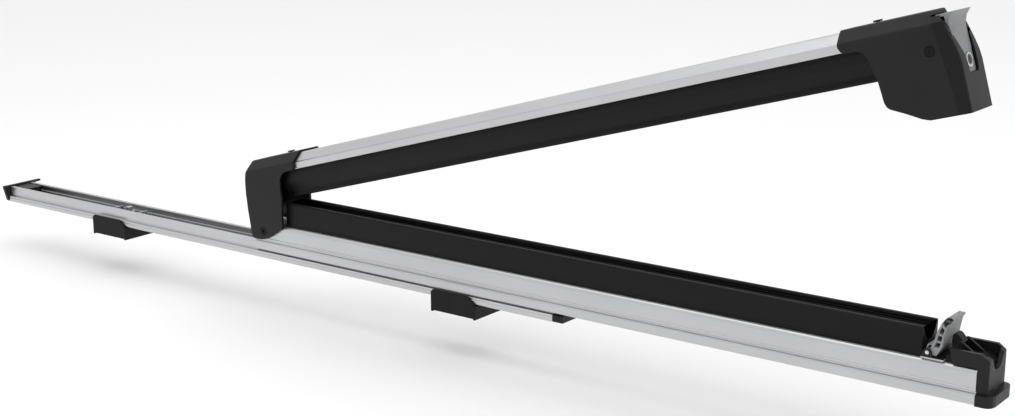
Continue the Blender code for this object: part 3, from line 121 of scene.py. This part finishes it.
def coordinates(tree, scale):
    """Object coordinates stretched by a scale along each axis."""
    source = tree.nodes.new("ShaderNodeTexCoord")
    mapping = tree.nodes.new("ShaderNodeMapping")
    mapping.inputs["Scale"].default_value = scale
    tree.links.new(source.outputs["Object"], mapping.inputs["Vector"])
    return mapping.outputs["Vector"]


def noise(tree, vector, scale, detail=3.0):
    texture = tree.nodes.new("ShaderNodeTexNoise")
    texture.inputs["Scale"].default_value = scale
    texture.inputs["Detail"].default_value = detail
    tree.links.new(vector, texture.inputs["Vector"])
    return texture.outputs["Fac"]


def spread(tree, value, low, high):
    """Map a noise value onto a range."""
    node = tree.nodes.new("ShaderNodeMapRange")
    node.inputs["From Min"].default_value = 0.3
    node.inputs["From Max"].default_value = 0.7
    node.inputs["To Min"].default_value = low
    node.inputs["To Max"].default_value = high
    tree.links.new(value, node.inputs["Value"])
    return node.outputs["Result"]


def tint(tree, value, dark, light):
    """Colour between two colours by a noise value."""
    node = tree.nodes.new("ShaderNodeMix")
    node.data_type = "RGBA"
    node.inputs["A"].default_value = (*dark, 1.0)
    node.inputs["B"].default_value = (*light, 1.0)
    tree.links.new(spread(tree, value, 0.0, 1.0), node.inputs["Factor"])
    return node.outputs["Result"]


def calculate(tree, operation, first, second):
    """One Math node; an input is a link or a number."""
    node = tree.nodes.new("ShaderNodeMath")
    node.operation = operation
    for socket, value in zip(node.inputs, (first, second)):
        if isinstance(value, float):
            socket.default_value = value
        else:
            tree.links.new(value, socket)
    return node.outputs["Value"]


def component(tree, vector, axis):
    split = tree.nodes.new("ShaderNodeSeparateXYZ")
    tree.links.new(vector, split.inputs["Vector"])
    return split.outputs[axis]


def facing(tree, axis, least):
    """1 where the surface looks up (axis 2) or to a side (axis 1), else 0."""
    source = tree.nodes.new("ShaderNodeTexCoord")
    value = component(tree, source.outputs["Normal"], axis)
    if axis == 1:
        value = calculate(tree, "ABSOLUTE", value, 0.0)
    return calculate(tree, "GREATER_THAN", value, least)


def where(tree, factor, colour, other):
    """The other colour where the factor is 1."""
    node = tree.nodes.new("ShaderNodeMix")
    node.data_type = "RGBA"
    tree.links.new(factor, node.inputs["Factor"])
    tree.links.new(colour, node.inputs["A"])
    tree.links.new(other, node.inputs["B"])
    return node.outputs["Result"]


def bump(tree, bsdf, height, strength, distance):
    node = tree.nodes.new("ShaderNodeBump")
    node.inputs["Strength"].default_value = strength
    node.inputs["Distance"].default_value = distance
    tree.links.new(height, node.inputs["Height"])
    tree.links.new(node.outputs["Normal"], bsdf.inputs["Normal"])


# ---------------------------------------------------------------- materials

def satin_aluminium(name, stretch=(8.0, 900.0, 900.0)):
    """Anodised extrusion with faint die lines along its length."""
    material, tree, bsdf = shader(name, (0.56, 0.562, 0.57), 0.4, 1.0)
    lines = noise(tree, coordinates(tree, stretch), 1.0, 2.0)
    cloud = noise(tree, coordinates(tree, (9.0, 30.0, 30.0)), 1.0, 3.0)
    tree.links.new(tint(tree, cloud, (0.53, 0.532, 0.54), (0.58, 0.582, 0.59)),
                   bsdf.inputs["Base Color"])
    tree.links.new(spread(tree, lines, 0.3, 0.4), bsdf.inputs["Roughness"])
    bump(tree, bsdf, lines, 0.08, 0.00005)
    return material


def moulded_plastic(name, dark, light, roughness, grain=1800.0, relief=0.12, specular=0.5):
    """Injection-moulded plastic with a fine spark-eroded grain."""
    material, tree, bsdf = shader(name, dark, roughness, specular=specular)
    fine = noise(tree, coordinates(tree, (1.0, 1.0, 1.0)), grain, 2.0)
    cloud = noise(tree, coordinates(tree, (1.0, 1.0, 1.0)), 35.0, 4.0)
    tree.links.new(tint(tree, cloud, dark, light), bsdf.inputs["Base Color"])
    tree.links.new(spread(tree, fine, roughness - 0.06, roughness + 0.08), bsdf.inputs["Roughness"])
    bump(tree, bsdf, fine, relief, 0.0001)
    return material


def black_rubber(name):
    """EPDM rubber: very dark, dull and streaked along its length, with a painted sheen: faces that look up are
    coloured lighter than the sides.
    """
    material, tree, bsdf = shader(name, (0.012, 0.012, 0.013), 0.5, specular=0.2)
    streaks = noise(tree, coordinates(tree, (6.0, 220.0, 220.0)), 1.0, 3.0)
    fine = noise(tree, coordinates(tree, (1.0, 1.0, 1.0)), 1300.0, 2.0)
    streaked = tint(tree, streaks, (0.0015, 0.0015, 0.0017), (0.0035, 0.0035, 0.004))
    painted_sheen = tint(tree, streaks, (0.022, 0.022, 0.023), (0.034, 0.034, 0.035))
    # Painted sheen: faces that look up get the lighter colour, the sides the darker streaked one.
    tree.links.new(where(tree, facing(tree, 2, 0.85), streaked, painted_sheen), bsdf.inputs["Base Color"])
    tree.links.new(spread(tree, streaks, 0.34, 0.46), bsdf.inputs["Roughness"])
    bump(tree, bsdf, fine, 0.1, 0.0001)
    return material


def plated_steel(name, dark, light, roughness):
    material, tree, bsdf = shader(name, light, roughness, 1.0)
    cloud = noise(tree, coordinates(tree, (1.0, 1.0, 1.0)), 160.0, 3.0)
    tree.links.new(tint(tree, cloud, dark, light), bsdf.inputs["Base Color"])
    tree.links.new(spread(tree, cloud, roughness - 0.07, roughness + 0.08), bsdf.inputs["Roughness"])
    return material


def lever_plastic(name):
    """Grey plastic with fine ribs up the lever's face; the side-facing walls inside its pockets are painted near
    black as shade.
    """
    material, tree, bsdf = shader(name, (0.22, 0.225, 0.23), 0.42)
    wave = tree.nodes.new("ShaderNodeTexWave")
    wave.bands_direction = "Y"
    wave.inputs["Scale"].default_value = 150.0
    wave.inputs["Distortion"].default_value = 0.0
    tree.links.new(coordinates(tree, (1.0, 1.0, 1.0)), wave.inputs["Vector"])
    place = coordinates(tree, (1.0, 1.0, 1.0))
    cloud = noise(tree, place, 90.0, 3.0)
    # Painted shade: surfaces that look sideways within the pockets' half-width are coloured near black, for the
    # shade in the recesses.
    side = calculate(tree, "ABSOLUTE", component(tree, place, 1), 0.0)
    sunk = calculate(tree, "LESS_THAN", side, SOCKET_HALF)
    floor = calculate(tree, "MULTIPLY", sunk, facing(tree, 1, 0.7))
    face = tint(tree, cloud, (0.22, 0.225, 0.23), (0.27, 0.275, 0.28))
    dark = tint(tree, cloud, (0.004, 0.004, 0.004), (0.007, 0.007, 0.007))
    tree.links.new(where(tree, floor, face, dark), bsdf.inputs["Base Color"])
    tree.links.new(spread(tree, cloud, 0.36, 0.5), bsdf.inputs["Roughness"])
    bump(tree, bsdf, wave.outputs["Fac"], 0.7, 0.0006)
    return material


def housing_plastic(name):
    """Black plastic whose side faces near the lock end are coloured darker: painted shade for the darker look of
    the tapered end.
    """
    material, tree, bsdf = shader(name, (0.008, 0.008, 0.009), 0.42, specular=0.26)
    place = coordinates(tree, (1.0, 1.0, 1.0))
    shift = tree.nodes.new("ShaderNodeVectorMath")
    shift.operation = "SUBTRACT"
    shift.inputs[1].default_value = HINGE
    tree.links.new(place, shift.inputs[0])

    def measure(direction):
        dot = tree.nodes.new("ShaderNodeVectorMath")
        dot.operation = "DOT_PRODUCT"
        dot.inputs[1].default_value = direction
        tree.links.new(shift.outputs["Vector"], dot.inputs[0])
        return dot.outputs["Value"]

    height = calculate(tree, "SUBTRACT", measure(UP), BAND_LEVEL)
    growth = calculate(tree, "MULTIPLY", calculate(tree, "MAXIMUM", height, 0.0), BAND_SLOPE)
    reach = calculate(tree, "ADD", measure(ALONG), growth)
    # Painted shade: side faces near the housing's end face are coloured darker, in a band that grows longer with
    # height.
    painted_shade_band = calculate(tree, "GREATER_THAN", reach, HOUSING_FACE - BAND_LENGTH)
    painted_shade_band = calculate(tree, "MULTIPLY", painted_shade_band, facing(tree, 1, 0.7))
    cloud = noise(tree, place, 35.0, 4.0)
    fine = noise(tree, place, 1800.0, 2.0)
    body = tint(tree, cloud, (0.006, 0.006, 0.0065), (0.009, 0.009, 0.01))
    end = tint(tree, cloud, (0.0012, 0.0012, 0.0013), (0.002, 0.002, 0.0022))
    tree.links.new(where(tree, painted_shade_band, body, end), bsdf.inputs["Base Color"])
    tree.links.new(spread(tree, fine, 0.36, 0.5), bsdf.inputs["Roughness"])
    bump(tree, bsdf, fine, 0.12, 0.0001)
    return material


def lock_metal(name):
    """A bright ring round a dark key face."""
    material, tree, bsdf = shader(name, (0.8, 0.8, 0.81), 0.2, 1.0)
    place = coordinates(tree, (1.0, 1.0, 1.0))
    low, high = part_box("lock_cylinder")
    shift = tree.nodes.new("ShaderNodeVectorMath")
    shift.operation = "SUBTRACT"
    shift.inputs[1].default_value = (Vector(low) + Vector(high)) / 2
    tree.links.new(place, shift.inputs[0])
    axis = tree.nodes.new("ShaderNodeVectorMath")
    axis.operation = "CROSS_PRODUCT"
    axis.inputs[1].default_value = ALONG
    tree.links.new(shift.outputs["Vector"], axis.inputs[0])
    radius = tree.nodes.new("ShaderNodeVectorMath")
    radius.operation = "LENGTH"
    tree.links.new(axis.outputs["Vector"], radius.inputs[0])
    inside = calculate(tree, "LESS_THAN", radius.outputs["Value"], KEY_FACE_RADIUS)
    cloud = noise(tree, place, 160.0, 3.0)
    ring = tint(tree, cloud, (0.62, 0.62, 0.63), (0.72, 0.72, 0.73))
    face = tint(tree, cloud, (0.05, 0.05, 0.052), (0.09, 0.09, 0.092))
    tree.links.new(where(tree, inside, ring, face), bsdf.inputs["Base Color"])
    tree.links.new(spread(tree, cloud, 0.16, 0.28), bsdf.inputs["Roughness"])
    return material


def two_tone_plastic(name, level):
    """Black plastic over a pale foot, parted at a height."""
    material, tree, bsdf = shader(name, (0.008, 0.008, 0.009), 0.45, specular=0.3)
    place = coordinates(tree, (1.0, 1.0, 1.0))
    cloud = noise(tree, place, 60.0, 3.0)
    above = calculate(tree, "GREATER_THAN", component(tree, place, 2), level)
    pale = tint(tree, cloud, (0.46, 0.46, 0.465), (0.50, 0.50, 0.505))
    black = tint(tree, cloud, (0.006, 0.006, 0.0065), (0.009, 0.009, 0.01))
    tree.links.new(where(tree, above, pale, black), bsdf.inputs["Base Color"])
    fine = noise(tree, coordinates(tree, (1.0, 1.0, 1.0)), 1800.0, 2.0)
    bump(tree, bsdf, fine, 0.1, 0.0001)
    return material


ALUMINIUM = satin_aluminium("satin_aluminium")
BLACK = moulded_plastic("black_plastic", (0.006, 0.006, 0.0065), (0.009, 0.009, 0.01), 0.42,
                        specular=0.26)
GREY = moulded_plastic("grey_plastic", (0.20, 0.205, 0.21), (0.24, 0.245, 0.25), 0.42)
GLIDE = moulded_plastic("glide_plastic", (0.56, 0.56, 0.54), (0.62, 0.62, 0.60), 0.4)
RUBBER = black_rubber("black_rubber")
ZINC = plated_steel("zinc_steel", (0.52, 0.53, 0.55), (0.70, 0.71, 0.72), 0.28)
LEVER_PLASTIC = lever_plastic("lever_plastic")
LEVER_BASE = two_tone_plastic("lever_base_plastic", LEVER_FLOOR)
HOUSING = housing_plastic("housing_plastic")
FOOT = moulded_plastic("foot_plastic", (0.003, 0.003, 0.0033), (0.005, 0.005, 0.0055), 0.46,
                       specular=0.2)
GRIP_BLACK = moulded_plastic("grip_plastic", (0.02, 0.02, 0.021), (0.03, 0.03, 0.031), 0.3,
                             specular=0.6)
LOCK = lock_metal("lock_metal")
SCREW = plated_steel("oiled_steel", (0.012, 0.012, 0.013), (0.022, 0.022, 0.024), 0.36)
DARK_STEEL = plated_steel("black_steel", (0.035, 0.035, 0.038), (0.06, 0.06, 0.065), 0.38)
CHROME = plated_steel("chrome", (0.78, 0.78, 0.79), (0.86, 0.86, 0.87), 0.14)

FINISHES = {
    "aluminium": ALUMINIUM, "black_plastic": BLACK, "grey_plastic": GREY,
    "rubber": RUBBER, "glide": GLIDE, "zinc": ZINC, "black_steel": DARK_STEEL, "chrome": CHROME,
}
SPECIAL = {
    "release_lever": LEVER_PLASTIC, "lever_base": LEVER_BASE, "lock_housing": HOUSING,
    "front_foot": FOOT, "rear_foot": FOOT, "catch_block": FOOT, "striker": FOOT,
    "latch_pin": SCREW, "pivot_screw": SCREW, "lock_cylinder": LOCK,
}


def paint_frame():
    for part in frame["record"]["subparts"]:
        node = NODES[part["node"]]
        node.data.materials.clear()
        node.data.materials.append(SPECIAL.get(part["node"], FINISHES[part["material_slot"]]))


def add_bevel(obj, width, segments, least=math.radians(40)):
    bevel = obj.modifiers.new("Bevel", "BEVEL")
    bevel.width = width
    bevel.segments = segments
    bevel.limit_method = "ANGLE"
    bevel.angle_limit = least


def soften(names, width, segments=2):
    """Round the sharp edges of CAD nodes by a small radius."""
    for name in names:
        weld = NODES[name].modifiers.new("Weld", "WELD")
        weld.merge_threshold = WELD_DISTANCE
        add_bevel(NODES[name], width, segments)


# ---------------------------------------------------------------- rubber

def fillet(corners, steps=4):
    """Outline through (u, v, radius) corners, each rounded by a short curve."""
    outline = []
    for i, (u, v, radius) in enumerate(corners):
        point = Vector((u, v))
        if not radius:
            outline.append(point)
            continue
        back = Vector(corners[i - 1][:2]) - point
        ahead = Vector(corners[(i + 1) % len(corners)][:2]) - point
        first = point + back.normalized() * min(radius, back.length / 2)
        last = point + ahead.normalized() * min(radius, ahead.length / 2)
        for k in range(steps + 1):
            t = k / steps
            outline.append(first * (1 - t) ** 2 + point * 2 * t * (1 - t) + last * t ** 2)
    return outline


def mirrored(half):
    """Whole outline from the half on the side of positive u."""
    return half + [(-u, v, radius) for u, v, radius in reversed(half)]


def sweep(name, outline, place, low, high, stations, material):
    """A section drawn along its length. place(a, y, v) gives the world point in millimetres."""
    bm = bmesh.new()
    rings = []
    for i in range(stations + 1):
        a = low + (high - low) * i / stations
        rings.append([bm.verts.new(place(a, p[0], p[1])) for p in outline])
    for near, far in zip(rings, rings[1:]):
        for k in range(len(near)):
            bm.faces.new((near[k - 1], near[k], far[k], far[k - 1]))
    bm.faces.new(rings[0])
    bm.faces.new(rings[-1])
    bmesh.ops.recalc_face_normals(bm, faces=bm.faces[:])
    return finish_mesh(name, bm, material)


def finish_mesh(name, bm, material):
    mesh = bpy.data.meshes.new(name)
    bm.to_mesh(mesh)
    bm.free()
    mesh.materials.append(material)
    mesh.shade_smooth()
    mesh.set_sharp_from_angle(angle=math.radians(38))
    obj = bpy.data.objects.new(name, mesh)
    bpy.context.scene.collection.objects.link(obj)
    return obj


def round_ends(obj, width):
    add_bevel(obj, width, 3, math.radians(70))


def grooves(start, end, count, depth, direction):
    """Corners of fine grooves along a straight edge from start to end, cut towards direction."""
    start, end, direction = Vector(start), Vector(end), Vector(direction)
    step = (end - start) / count
    corners = []
    for i in range(count):
        base = start + step * i
        for share, sunk in ((0.2, 0.0), (0.35, 1.0), (0.65, 1.0), (0.8, 0.0)):
            point = base + step * share + direction * depth * sunk
            corners.append((point.x, point.y, 0.0))
    return corners


def make_lower_pad():
    """The U-shaped pad: rounded lips with fine grooves, and a soft valley between them."""
    half = PAD_HALF_WIDTH
    floor = PAD_DEPTH
    side = [(0.0, 0.6 - floor, 0.0), (half, 0.6 - floor, 0.3), (half, 2.0 - floor, 0.0),
            (half - 0.4, 2.2 - floor, 0.0), (half - 0.4, 2.8 - floor, 0.0), (half, 3.0 - floor, 0.0),
            (half, -0.9, 0.9), (half - 1.0, 0.0, 0.6)]
    side += grooves((half - 1.1, 0.0), (half - 2.7, 0.0), 2, 0.22, (0.0, -1.0))
    side += [(half - 3.2, 0.0, 0.5), (half - 3.7, -1.6, 0.6)]
    side += grooves((half - 3.75, -2.2), (half - 3.9, -5.6), 2, 0.25, (1.0, 0.0))
    side += [(half - 4.1, -6.2, 1.2), (5.0, -9.9, 1.6), (2.2, -11.2, 1.0), (0.0, -11.4, 0.0)]
    top = PAD_HIGH.z / MM

    def place(a, y, v):
        return Vector((a, y, top + v)) * MM

    pad = sweep("lower_pad_rubber", fillet(mirrored(side)), place, PAD_LOW.x / MM, PAD_HIGH.x / MM,
                48, RUBBER)
    round_ends(pad, 0.35 * MM)
    tongue = [(0.0, -floor - 3.0, 0.0), (13.0, -floor - 3.0, 0.3), (13.0, -floor - 1.8, 0.3),
              (9.2, -floor - 1.7, 0.0), (9.2, 0.7 - floor, 0.0), (0.0, 0.7 - floor, 0.0)]
    root = sweep("lower_pad_root", fillet(mirrored(tongue)), place, PAD_LOW.x / MM, PAD_HIGH.x / MM,
                 2, RUBBER)
    for piece in (pad, root):
        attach(piece, "slide")
    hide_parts("lower_pad")


def make_upper_pad():
    """The clamping pad: straight shoulders, sloping flanks and a grooved double tip."""
    start, end, base = UPPER_PAD_START, UPPER_PAD_END, ARM_UNDERSIDE
    tip = base - UPPER_PAD_DEPTH
    half, nose = PAD_HALF_WIDTH, 8.4
    side = [(0.0, base - 0.6, 0.0), (half - 0.1, base - 0.6, 0.3), (half, base - 2.0, 0.0),
            (half - 0.4, base - 2.2, 0.0), (half - 0.4, base - 2.8, 0.0), (half, base - 3.0, 0.0),
            (half, tip + 14.0, 1.6), (nose + 0.1, tip + 5.8, 1.2)]
    side += grooves((nose + 0.1, tip + 5.0), (nose, tip + 1.6), 2, 0.25, (-1.0, 0.0))
    side += [(nose, tip + 0.9, 0.5), (nose - 0.9, tip, 0.5), (nose - 2.8, tip, 0.6),
             (nose - 4.2, tip + 3.4, 1.0), (0.0, tip + 5.0, 0.0)]
    pad = sweep("upper_pad_rubber", fillet(mirrored(side)), on_arm, start, end, 44, RUBBER)
    round_ends(pad, 0.35 * MM)
    tongue = [(0.0, base + 2.7, 0.0), (13.0, base + 2.7, 0.3), (13.0, base + 1.8, 0.3),
              (9.2, base + 1.7, 0.0), (9.2, base - 0.7, 0.0), (0.0, base - 0.7, 0.0)]
    root = sweep("upper_pad_root", fillet(mirrored(tongue)), on_arm, start, end, 2, RUBBER)
    for piece in (pad, root):
        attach(piece, "arm")
    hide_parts("upper_pad")


def make_foot_sole(prefix):
    """The rubber seat under a foot, ribbed across the bar, with a window for the bolt's head."""
    low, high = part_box(prefix + "_foot_sole")
    head_low, head_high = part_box(prefix + "_bar_bolt")
    half = (high.y - low.y) / MM / 2
    thick = (high.z - low.z) / MM
    window = (head_high.x - head_low.x) / MM / 2 + 0.5
    middle = (head_high.x + head_low.x) / MM / 2
    start, end = low.x / MM, high.x / MM

    def place(y, a, v):
        return Vector((a, y, v + low.z / MM)) * MM

    def slab(name, first, last, low_y, high_y, ribs):
        under = grooves((first + 0.8, 0.0), (last - 0.8, 0.0), ribs, 0.6, (0.0, 1.0))
        outline = fillet([(first, 0.0, 0.4)] + under + [(last, 0.0, 0.4), (last, thick, 0.3),
                                                        (first, thick, 0.3)])
        piece = sweep(prefix + name, outline, place, low_y, high_y, 6, RUBBER)
        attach(piece, "base")
        return piece

    seat = slab("_sole_rubber", start, middle - window, -half, half, 10)
    slab("_sole_front", middle + window, end, -half, half, 3)
    reach = (head_high.y - head_low.y) / MM / 2 + 0.5
    slab("_sole_left", middle - window, middle + window, reach, half, 3)
    slab("_sole_right", middle - window, middle + window, -half, -reach, 3)
    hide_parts(prefix + "_foot_sole")


# ---------------------------------------------------------------- small details

def make_grip_patch():
    """The diamond-cut patch on the end cap's face, pointed at the bottom."""
    low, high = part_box("outer_end_cap")
    face = high.x / MM - GRIP_SETBACK
    pitch = 1.5
    bm = bmesh.new()
    for row in range(GRIP_ROWS):
        for column in range(-12, 13):
            y = (column + 0.5 * (row % 2)) * pitch
            z = GRIP_TOP - row * pitch / 2
            if abs(y) > GRIP_HALF or z - GRIP_POINT < abs(y) * GRIP_SLOPE:
                continue
            if z > NOTCH_FLOOR and abs(y) < NOTCH_HALF:
                continue
            rim = [bm.verts.new(Vector((face, y + dy, z + dz)) * MM)
                   for dy, dz in ((0.62, 0.0), (0.0, 0.62), (-0.62, 0.0), (0.0, -0.62))]
            peak = bm.verts.new(Vector((face + GRIP_RELIEF, y, z)) * MM)
            for k in range(4):
                bm.faces.new((rim[k - 1], rim[k], peak))
            bm.faces.new(rim)
    bmesh.ops.recalc_face_normals(bm, faces=bm.faces[:])
    patch = finish_mesh("grip_diamonds", bm, GRIP_BLACK)
    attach(patch, "slide")


def make_lever_shell():
    """The release lever with a blunt tip."""
    bm = bmesh.new()
    bm.from_mesh(NODES["release_lever"].data)
    bm.transform(NODES["release_lever"].matrix_world)
    bmesh.ops.remove_doubles(bm, verts=bm.verts[:], dist=WELD_DISTANCE)
    for point, normal in TIP_PLANES:
        bmesh.ops.bisect_plane(bm, geom=bm.verts[:] + bm.edges[:] + bm.faces[:], plane_co=point,
                               plane_no=normal, clear_outer=True)
        bmesh.ops.holes_fill(bm, edges=[e for e in bm.edges if e.is_boundary])
    bmesh.ops.recalc_face_normals(bm, faces=bm.faces[:])
    shell = finish_mesh("lever_shell", bm, LEVER_PLASTIC)
    add_bevel(shell, 0.3 * MM, 2)
    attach(shell, "lever")
    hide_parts("release_lever")


# ---------------------------------------------------------------- stage

def make_camera():
    azimuth = math.radians(CAMERA_AZIMUTH)
    elevation = math.radians(CAMERA_ELEVATION)
    data = bpy.data.cameras.new("camera")
    data.lens = CAMERA_LENS
    data.sensor_width = 36.0
    data.clip_start = 0.01
    data.clip_end = 50.0
    camera = bpy.data.objects.new("camera", data)
    camera.location = CAMERA_PLACE
    camera.rotation_euler = (math.pi / 2 - elevation, 0.0, azimuth)
    bpy.context.scene.collection.objects.link(camera)
    bpy.context.scene.camera = camera


def make_floor():
    bpy.ops.mesh.primitive_plane_add(size=30.0, location=(0.0, 0.0, -0.035))
    floor = bpy.context.object
    floor.name = "floor"
    material, tree, bsdf = shader("floor_paper", (0.92, 0.92, 0.92), 0.9)
    cloud = noise(tree, coordinates(tree, (1.0, 1.0, 1.0)), 3.0, 2.0)
    tree.links.new(tint(tree, cloud, (0.915, 0.915, 0.915), (0.925, 0.925, 0.925)),
                   bsdf.inputs["Base Color"])
    floor.data.materials.append(material)


def add_area(name, place, target, size, power):
    data = bpy.data.lights.new(name, "AREA")
    data.shape = "RECTANGLE"
    data.size = size[0]
    data.size_y = size[1]
    data.energy = power
    light = bpy.data.objects.new(name, data)
    light.location = place
    aim = Vector(target) - Vector(place)
    light.rotation_euler = aim.to_track_quat("-Z", "Y").to_euler()
    bpy.context.scene.collection.objects.link(light)


def make_lights():
    world = bpy.data.worlds.new("studio")
    world.use_nodes = True
    tree = world.node_tree
    place = tree.nodes.new("ShaderNodeTexCoord")
    split = tree.nodes.new("ShaderNodeSeparateXYZ")
    ramp = tree.nodes.new("ShaderNodeMapRange")
    ramp.inputs["From Min"].default_value = 0.1
    ramp.inputs["From Max"].default_value = 0.75
    ramp.inputs["To Min"].default_value = SKY_LOW
    ramp.inputs["To Max"].default_value = SKY_HIGH
    tree.links.new(place.outputs["Generated"], split.inputs["Vector"])
    tree.links.new(split.outputs["Z"], ramp.inputs["Value"])
    tree.nodes["Background"].inputs["Color"].default_value = (1.0, 1.0, 1.0, 1.0)
    tree.links.new(ramp.outputs["Result"], tree.nodes["Background"].inputs["Strength"])
    bpy.context.scene.world = world
    bpy.context.scene.view_settings.view_transform = "Standard"
    add_area("overhead", (0.1, -0.1, 1.6), (0.0, 0.0, 0.1), (2.4, 1.6), OVERHEAD_POWER)


paint_frame()
make_lower_pad()
make_upper_pad()
make_foot_sole("front")
make_foot_sole("rear")
make_grip_patch()
make_lever_shell()
soften(("hinge_bracket", "lock_housing", "outer_end_cap", "front_foot", "rear_foot"), 0.5 * MM)
soften(("rear_end_cap", "front_end_cap", "catch_block", "push_button"), 0.3 * MM)
soften(("slide_rail", "base_rail", "arm_rail"), 0.2 * MM, 1)
make_camera()
make_floor()
make_lights()
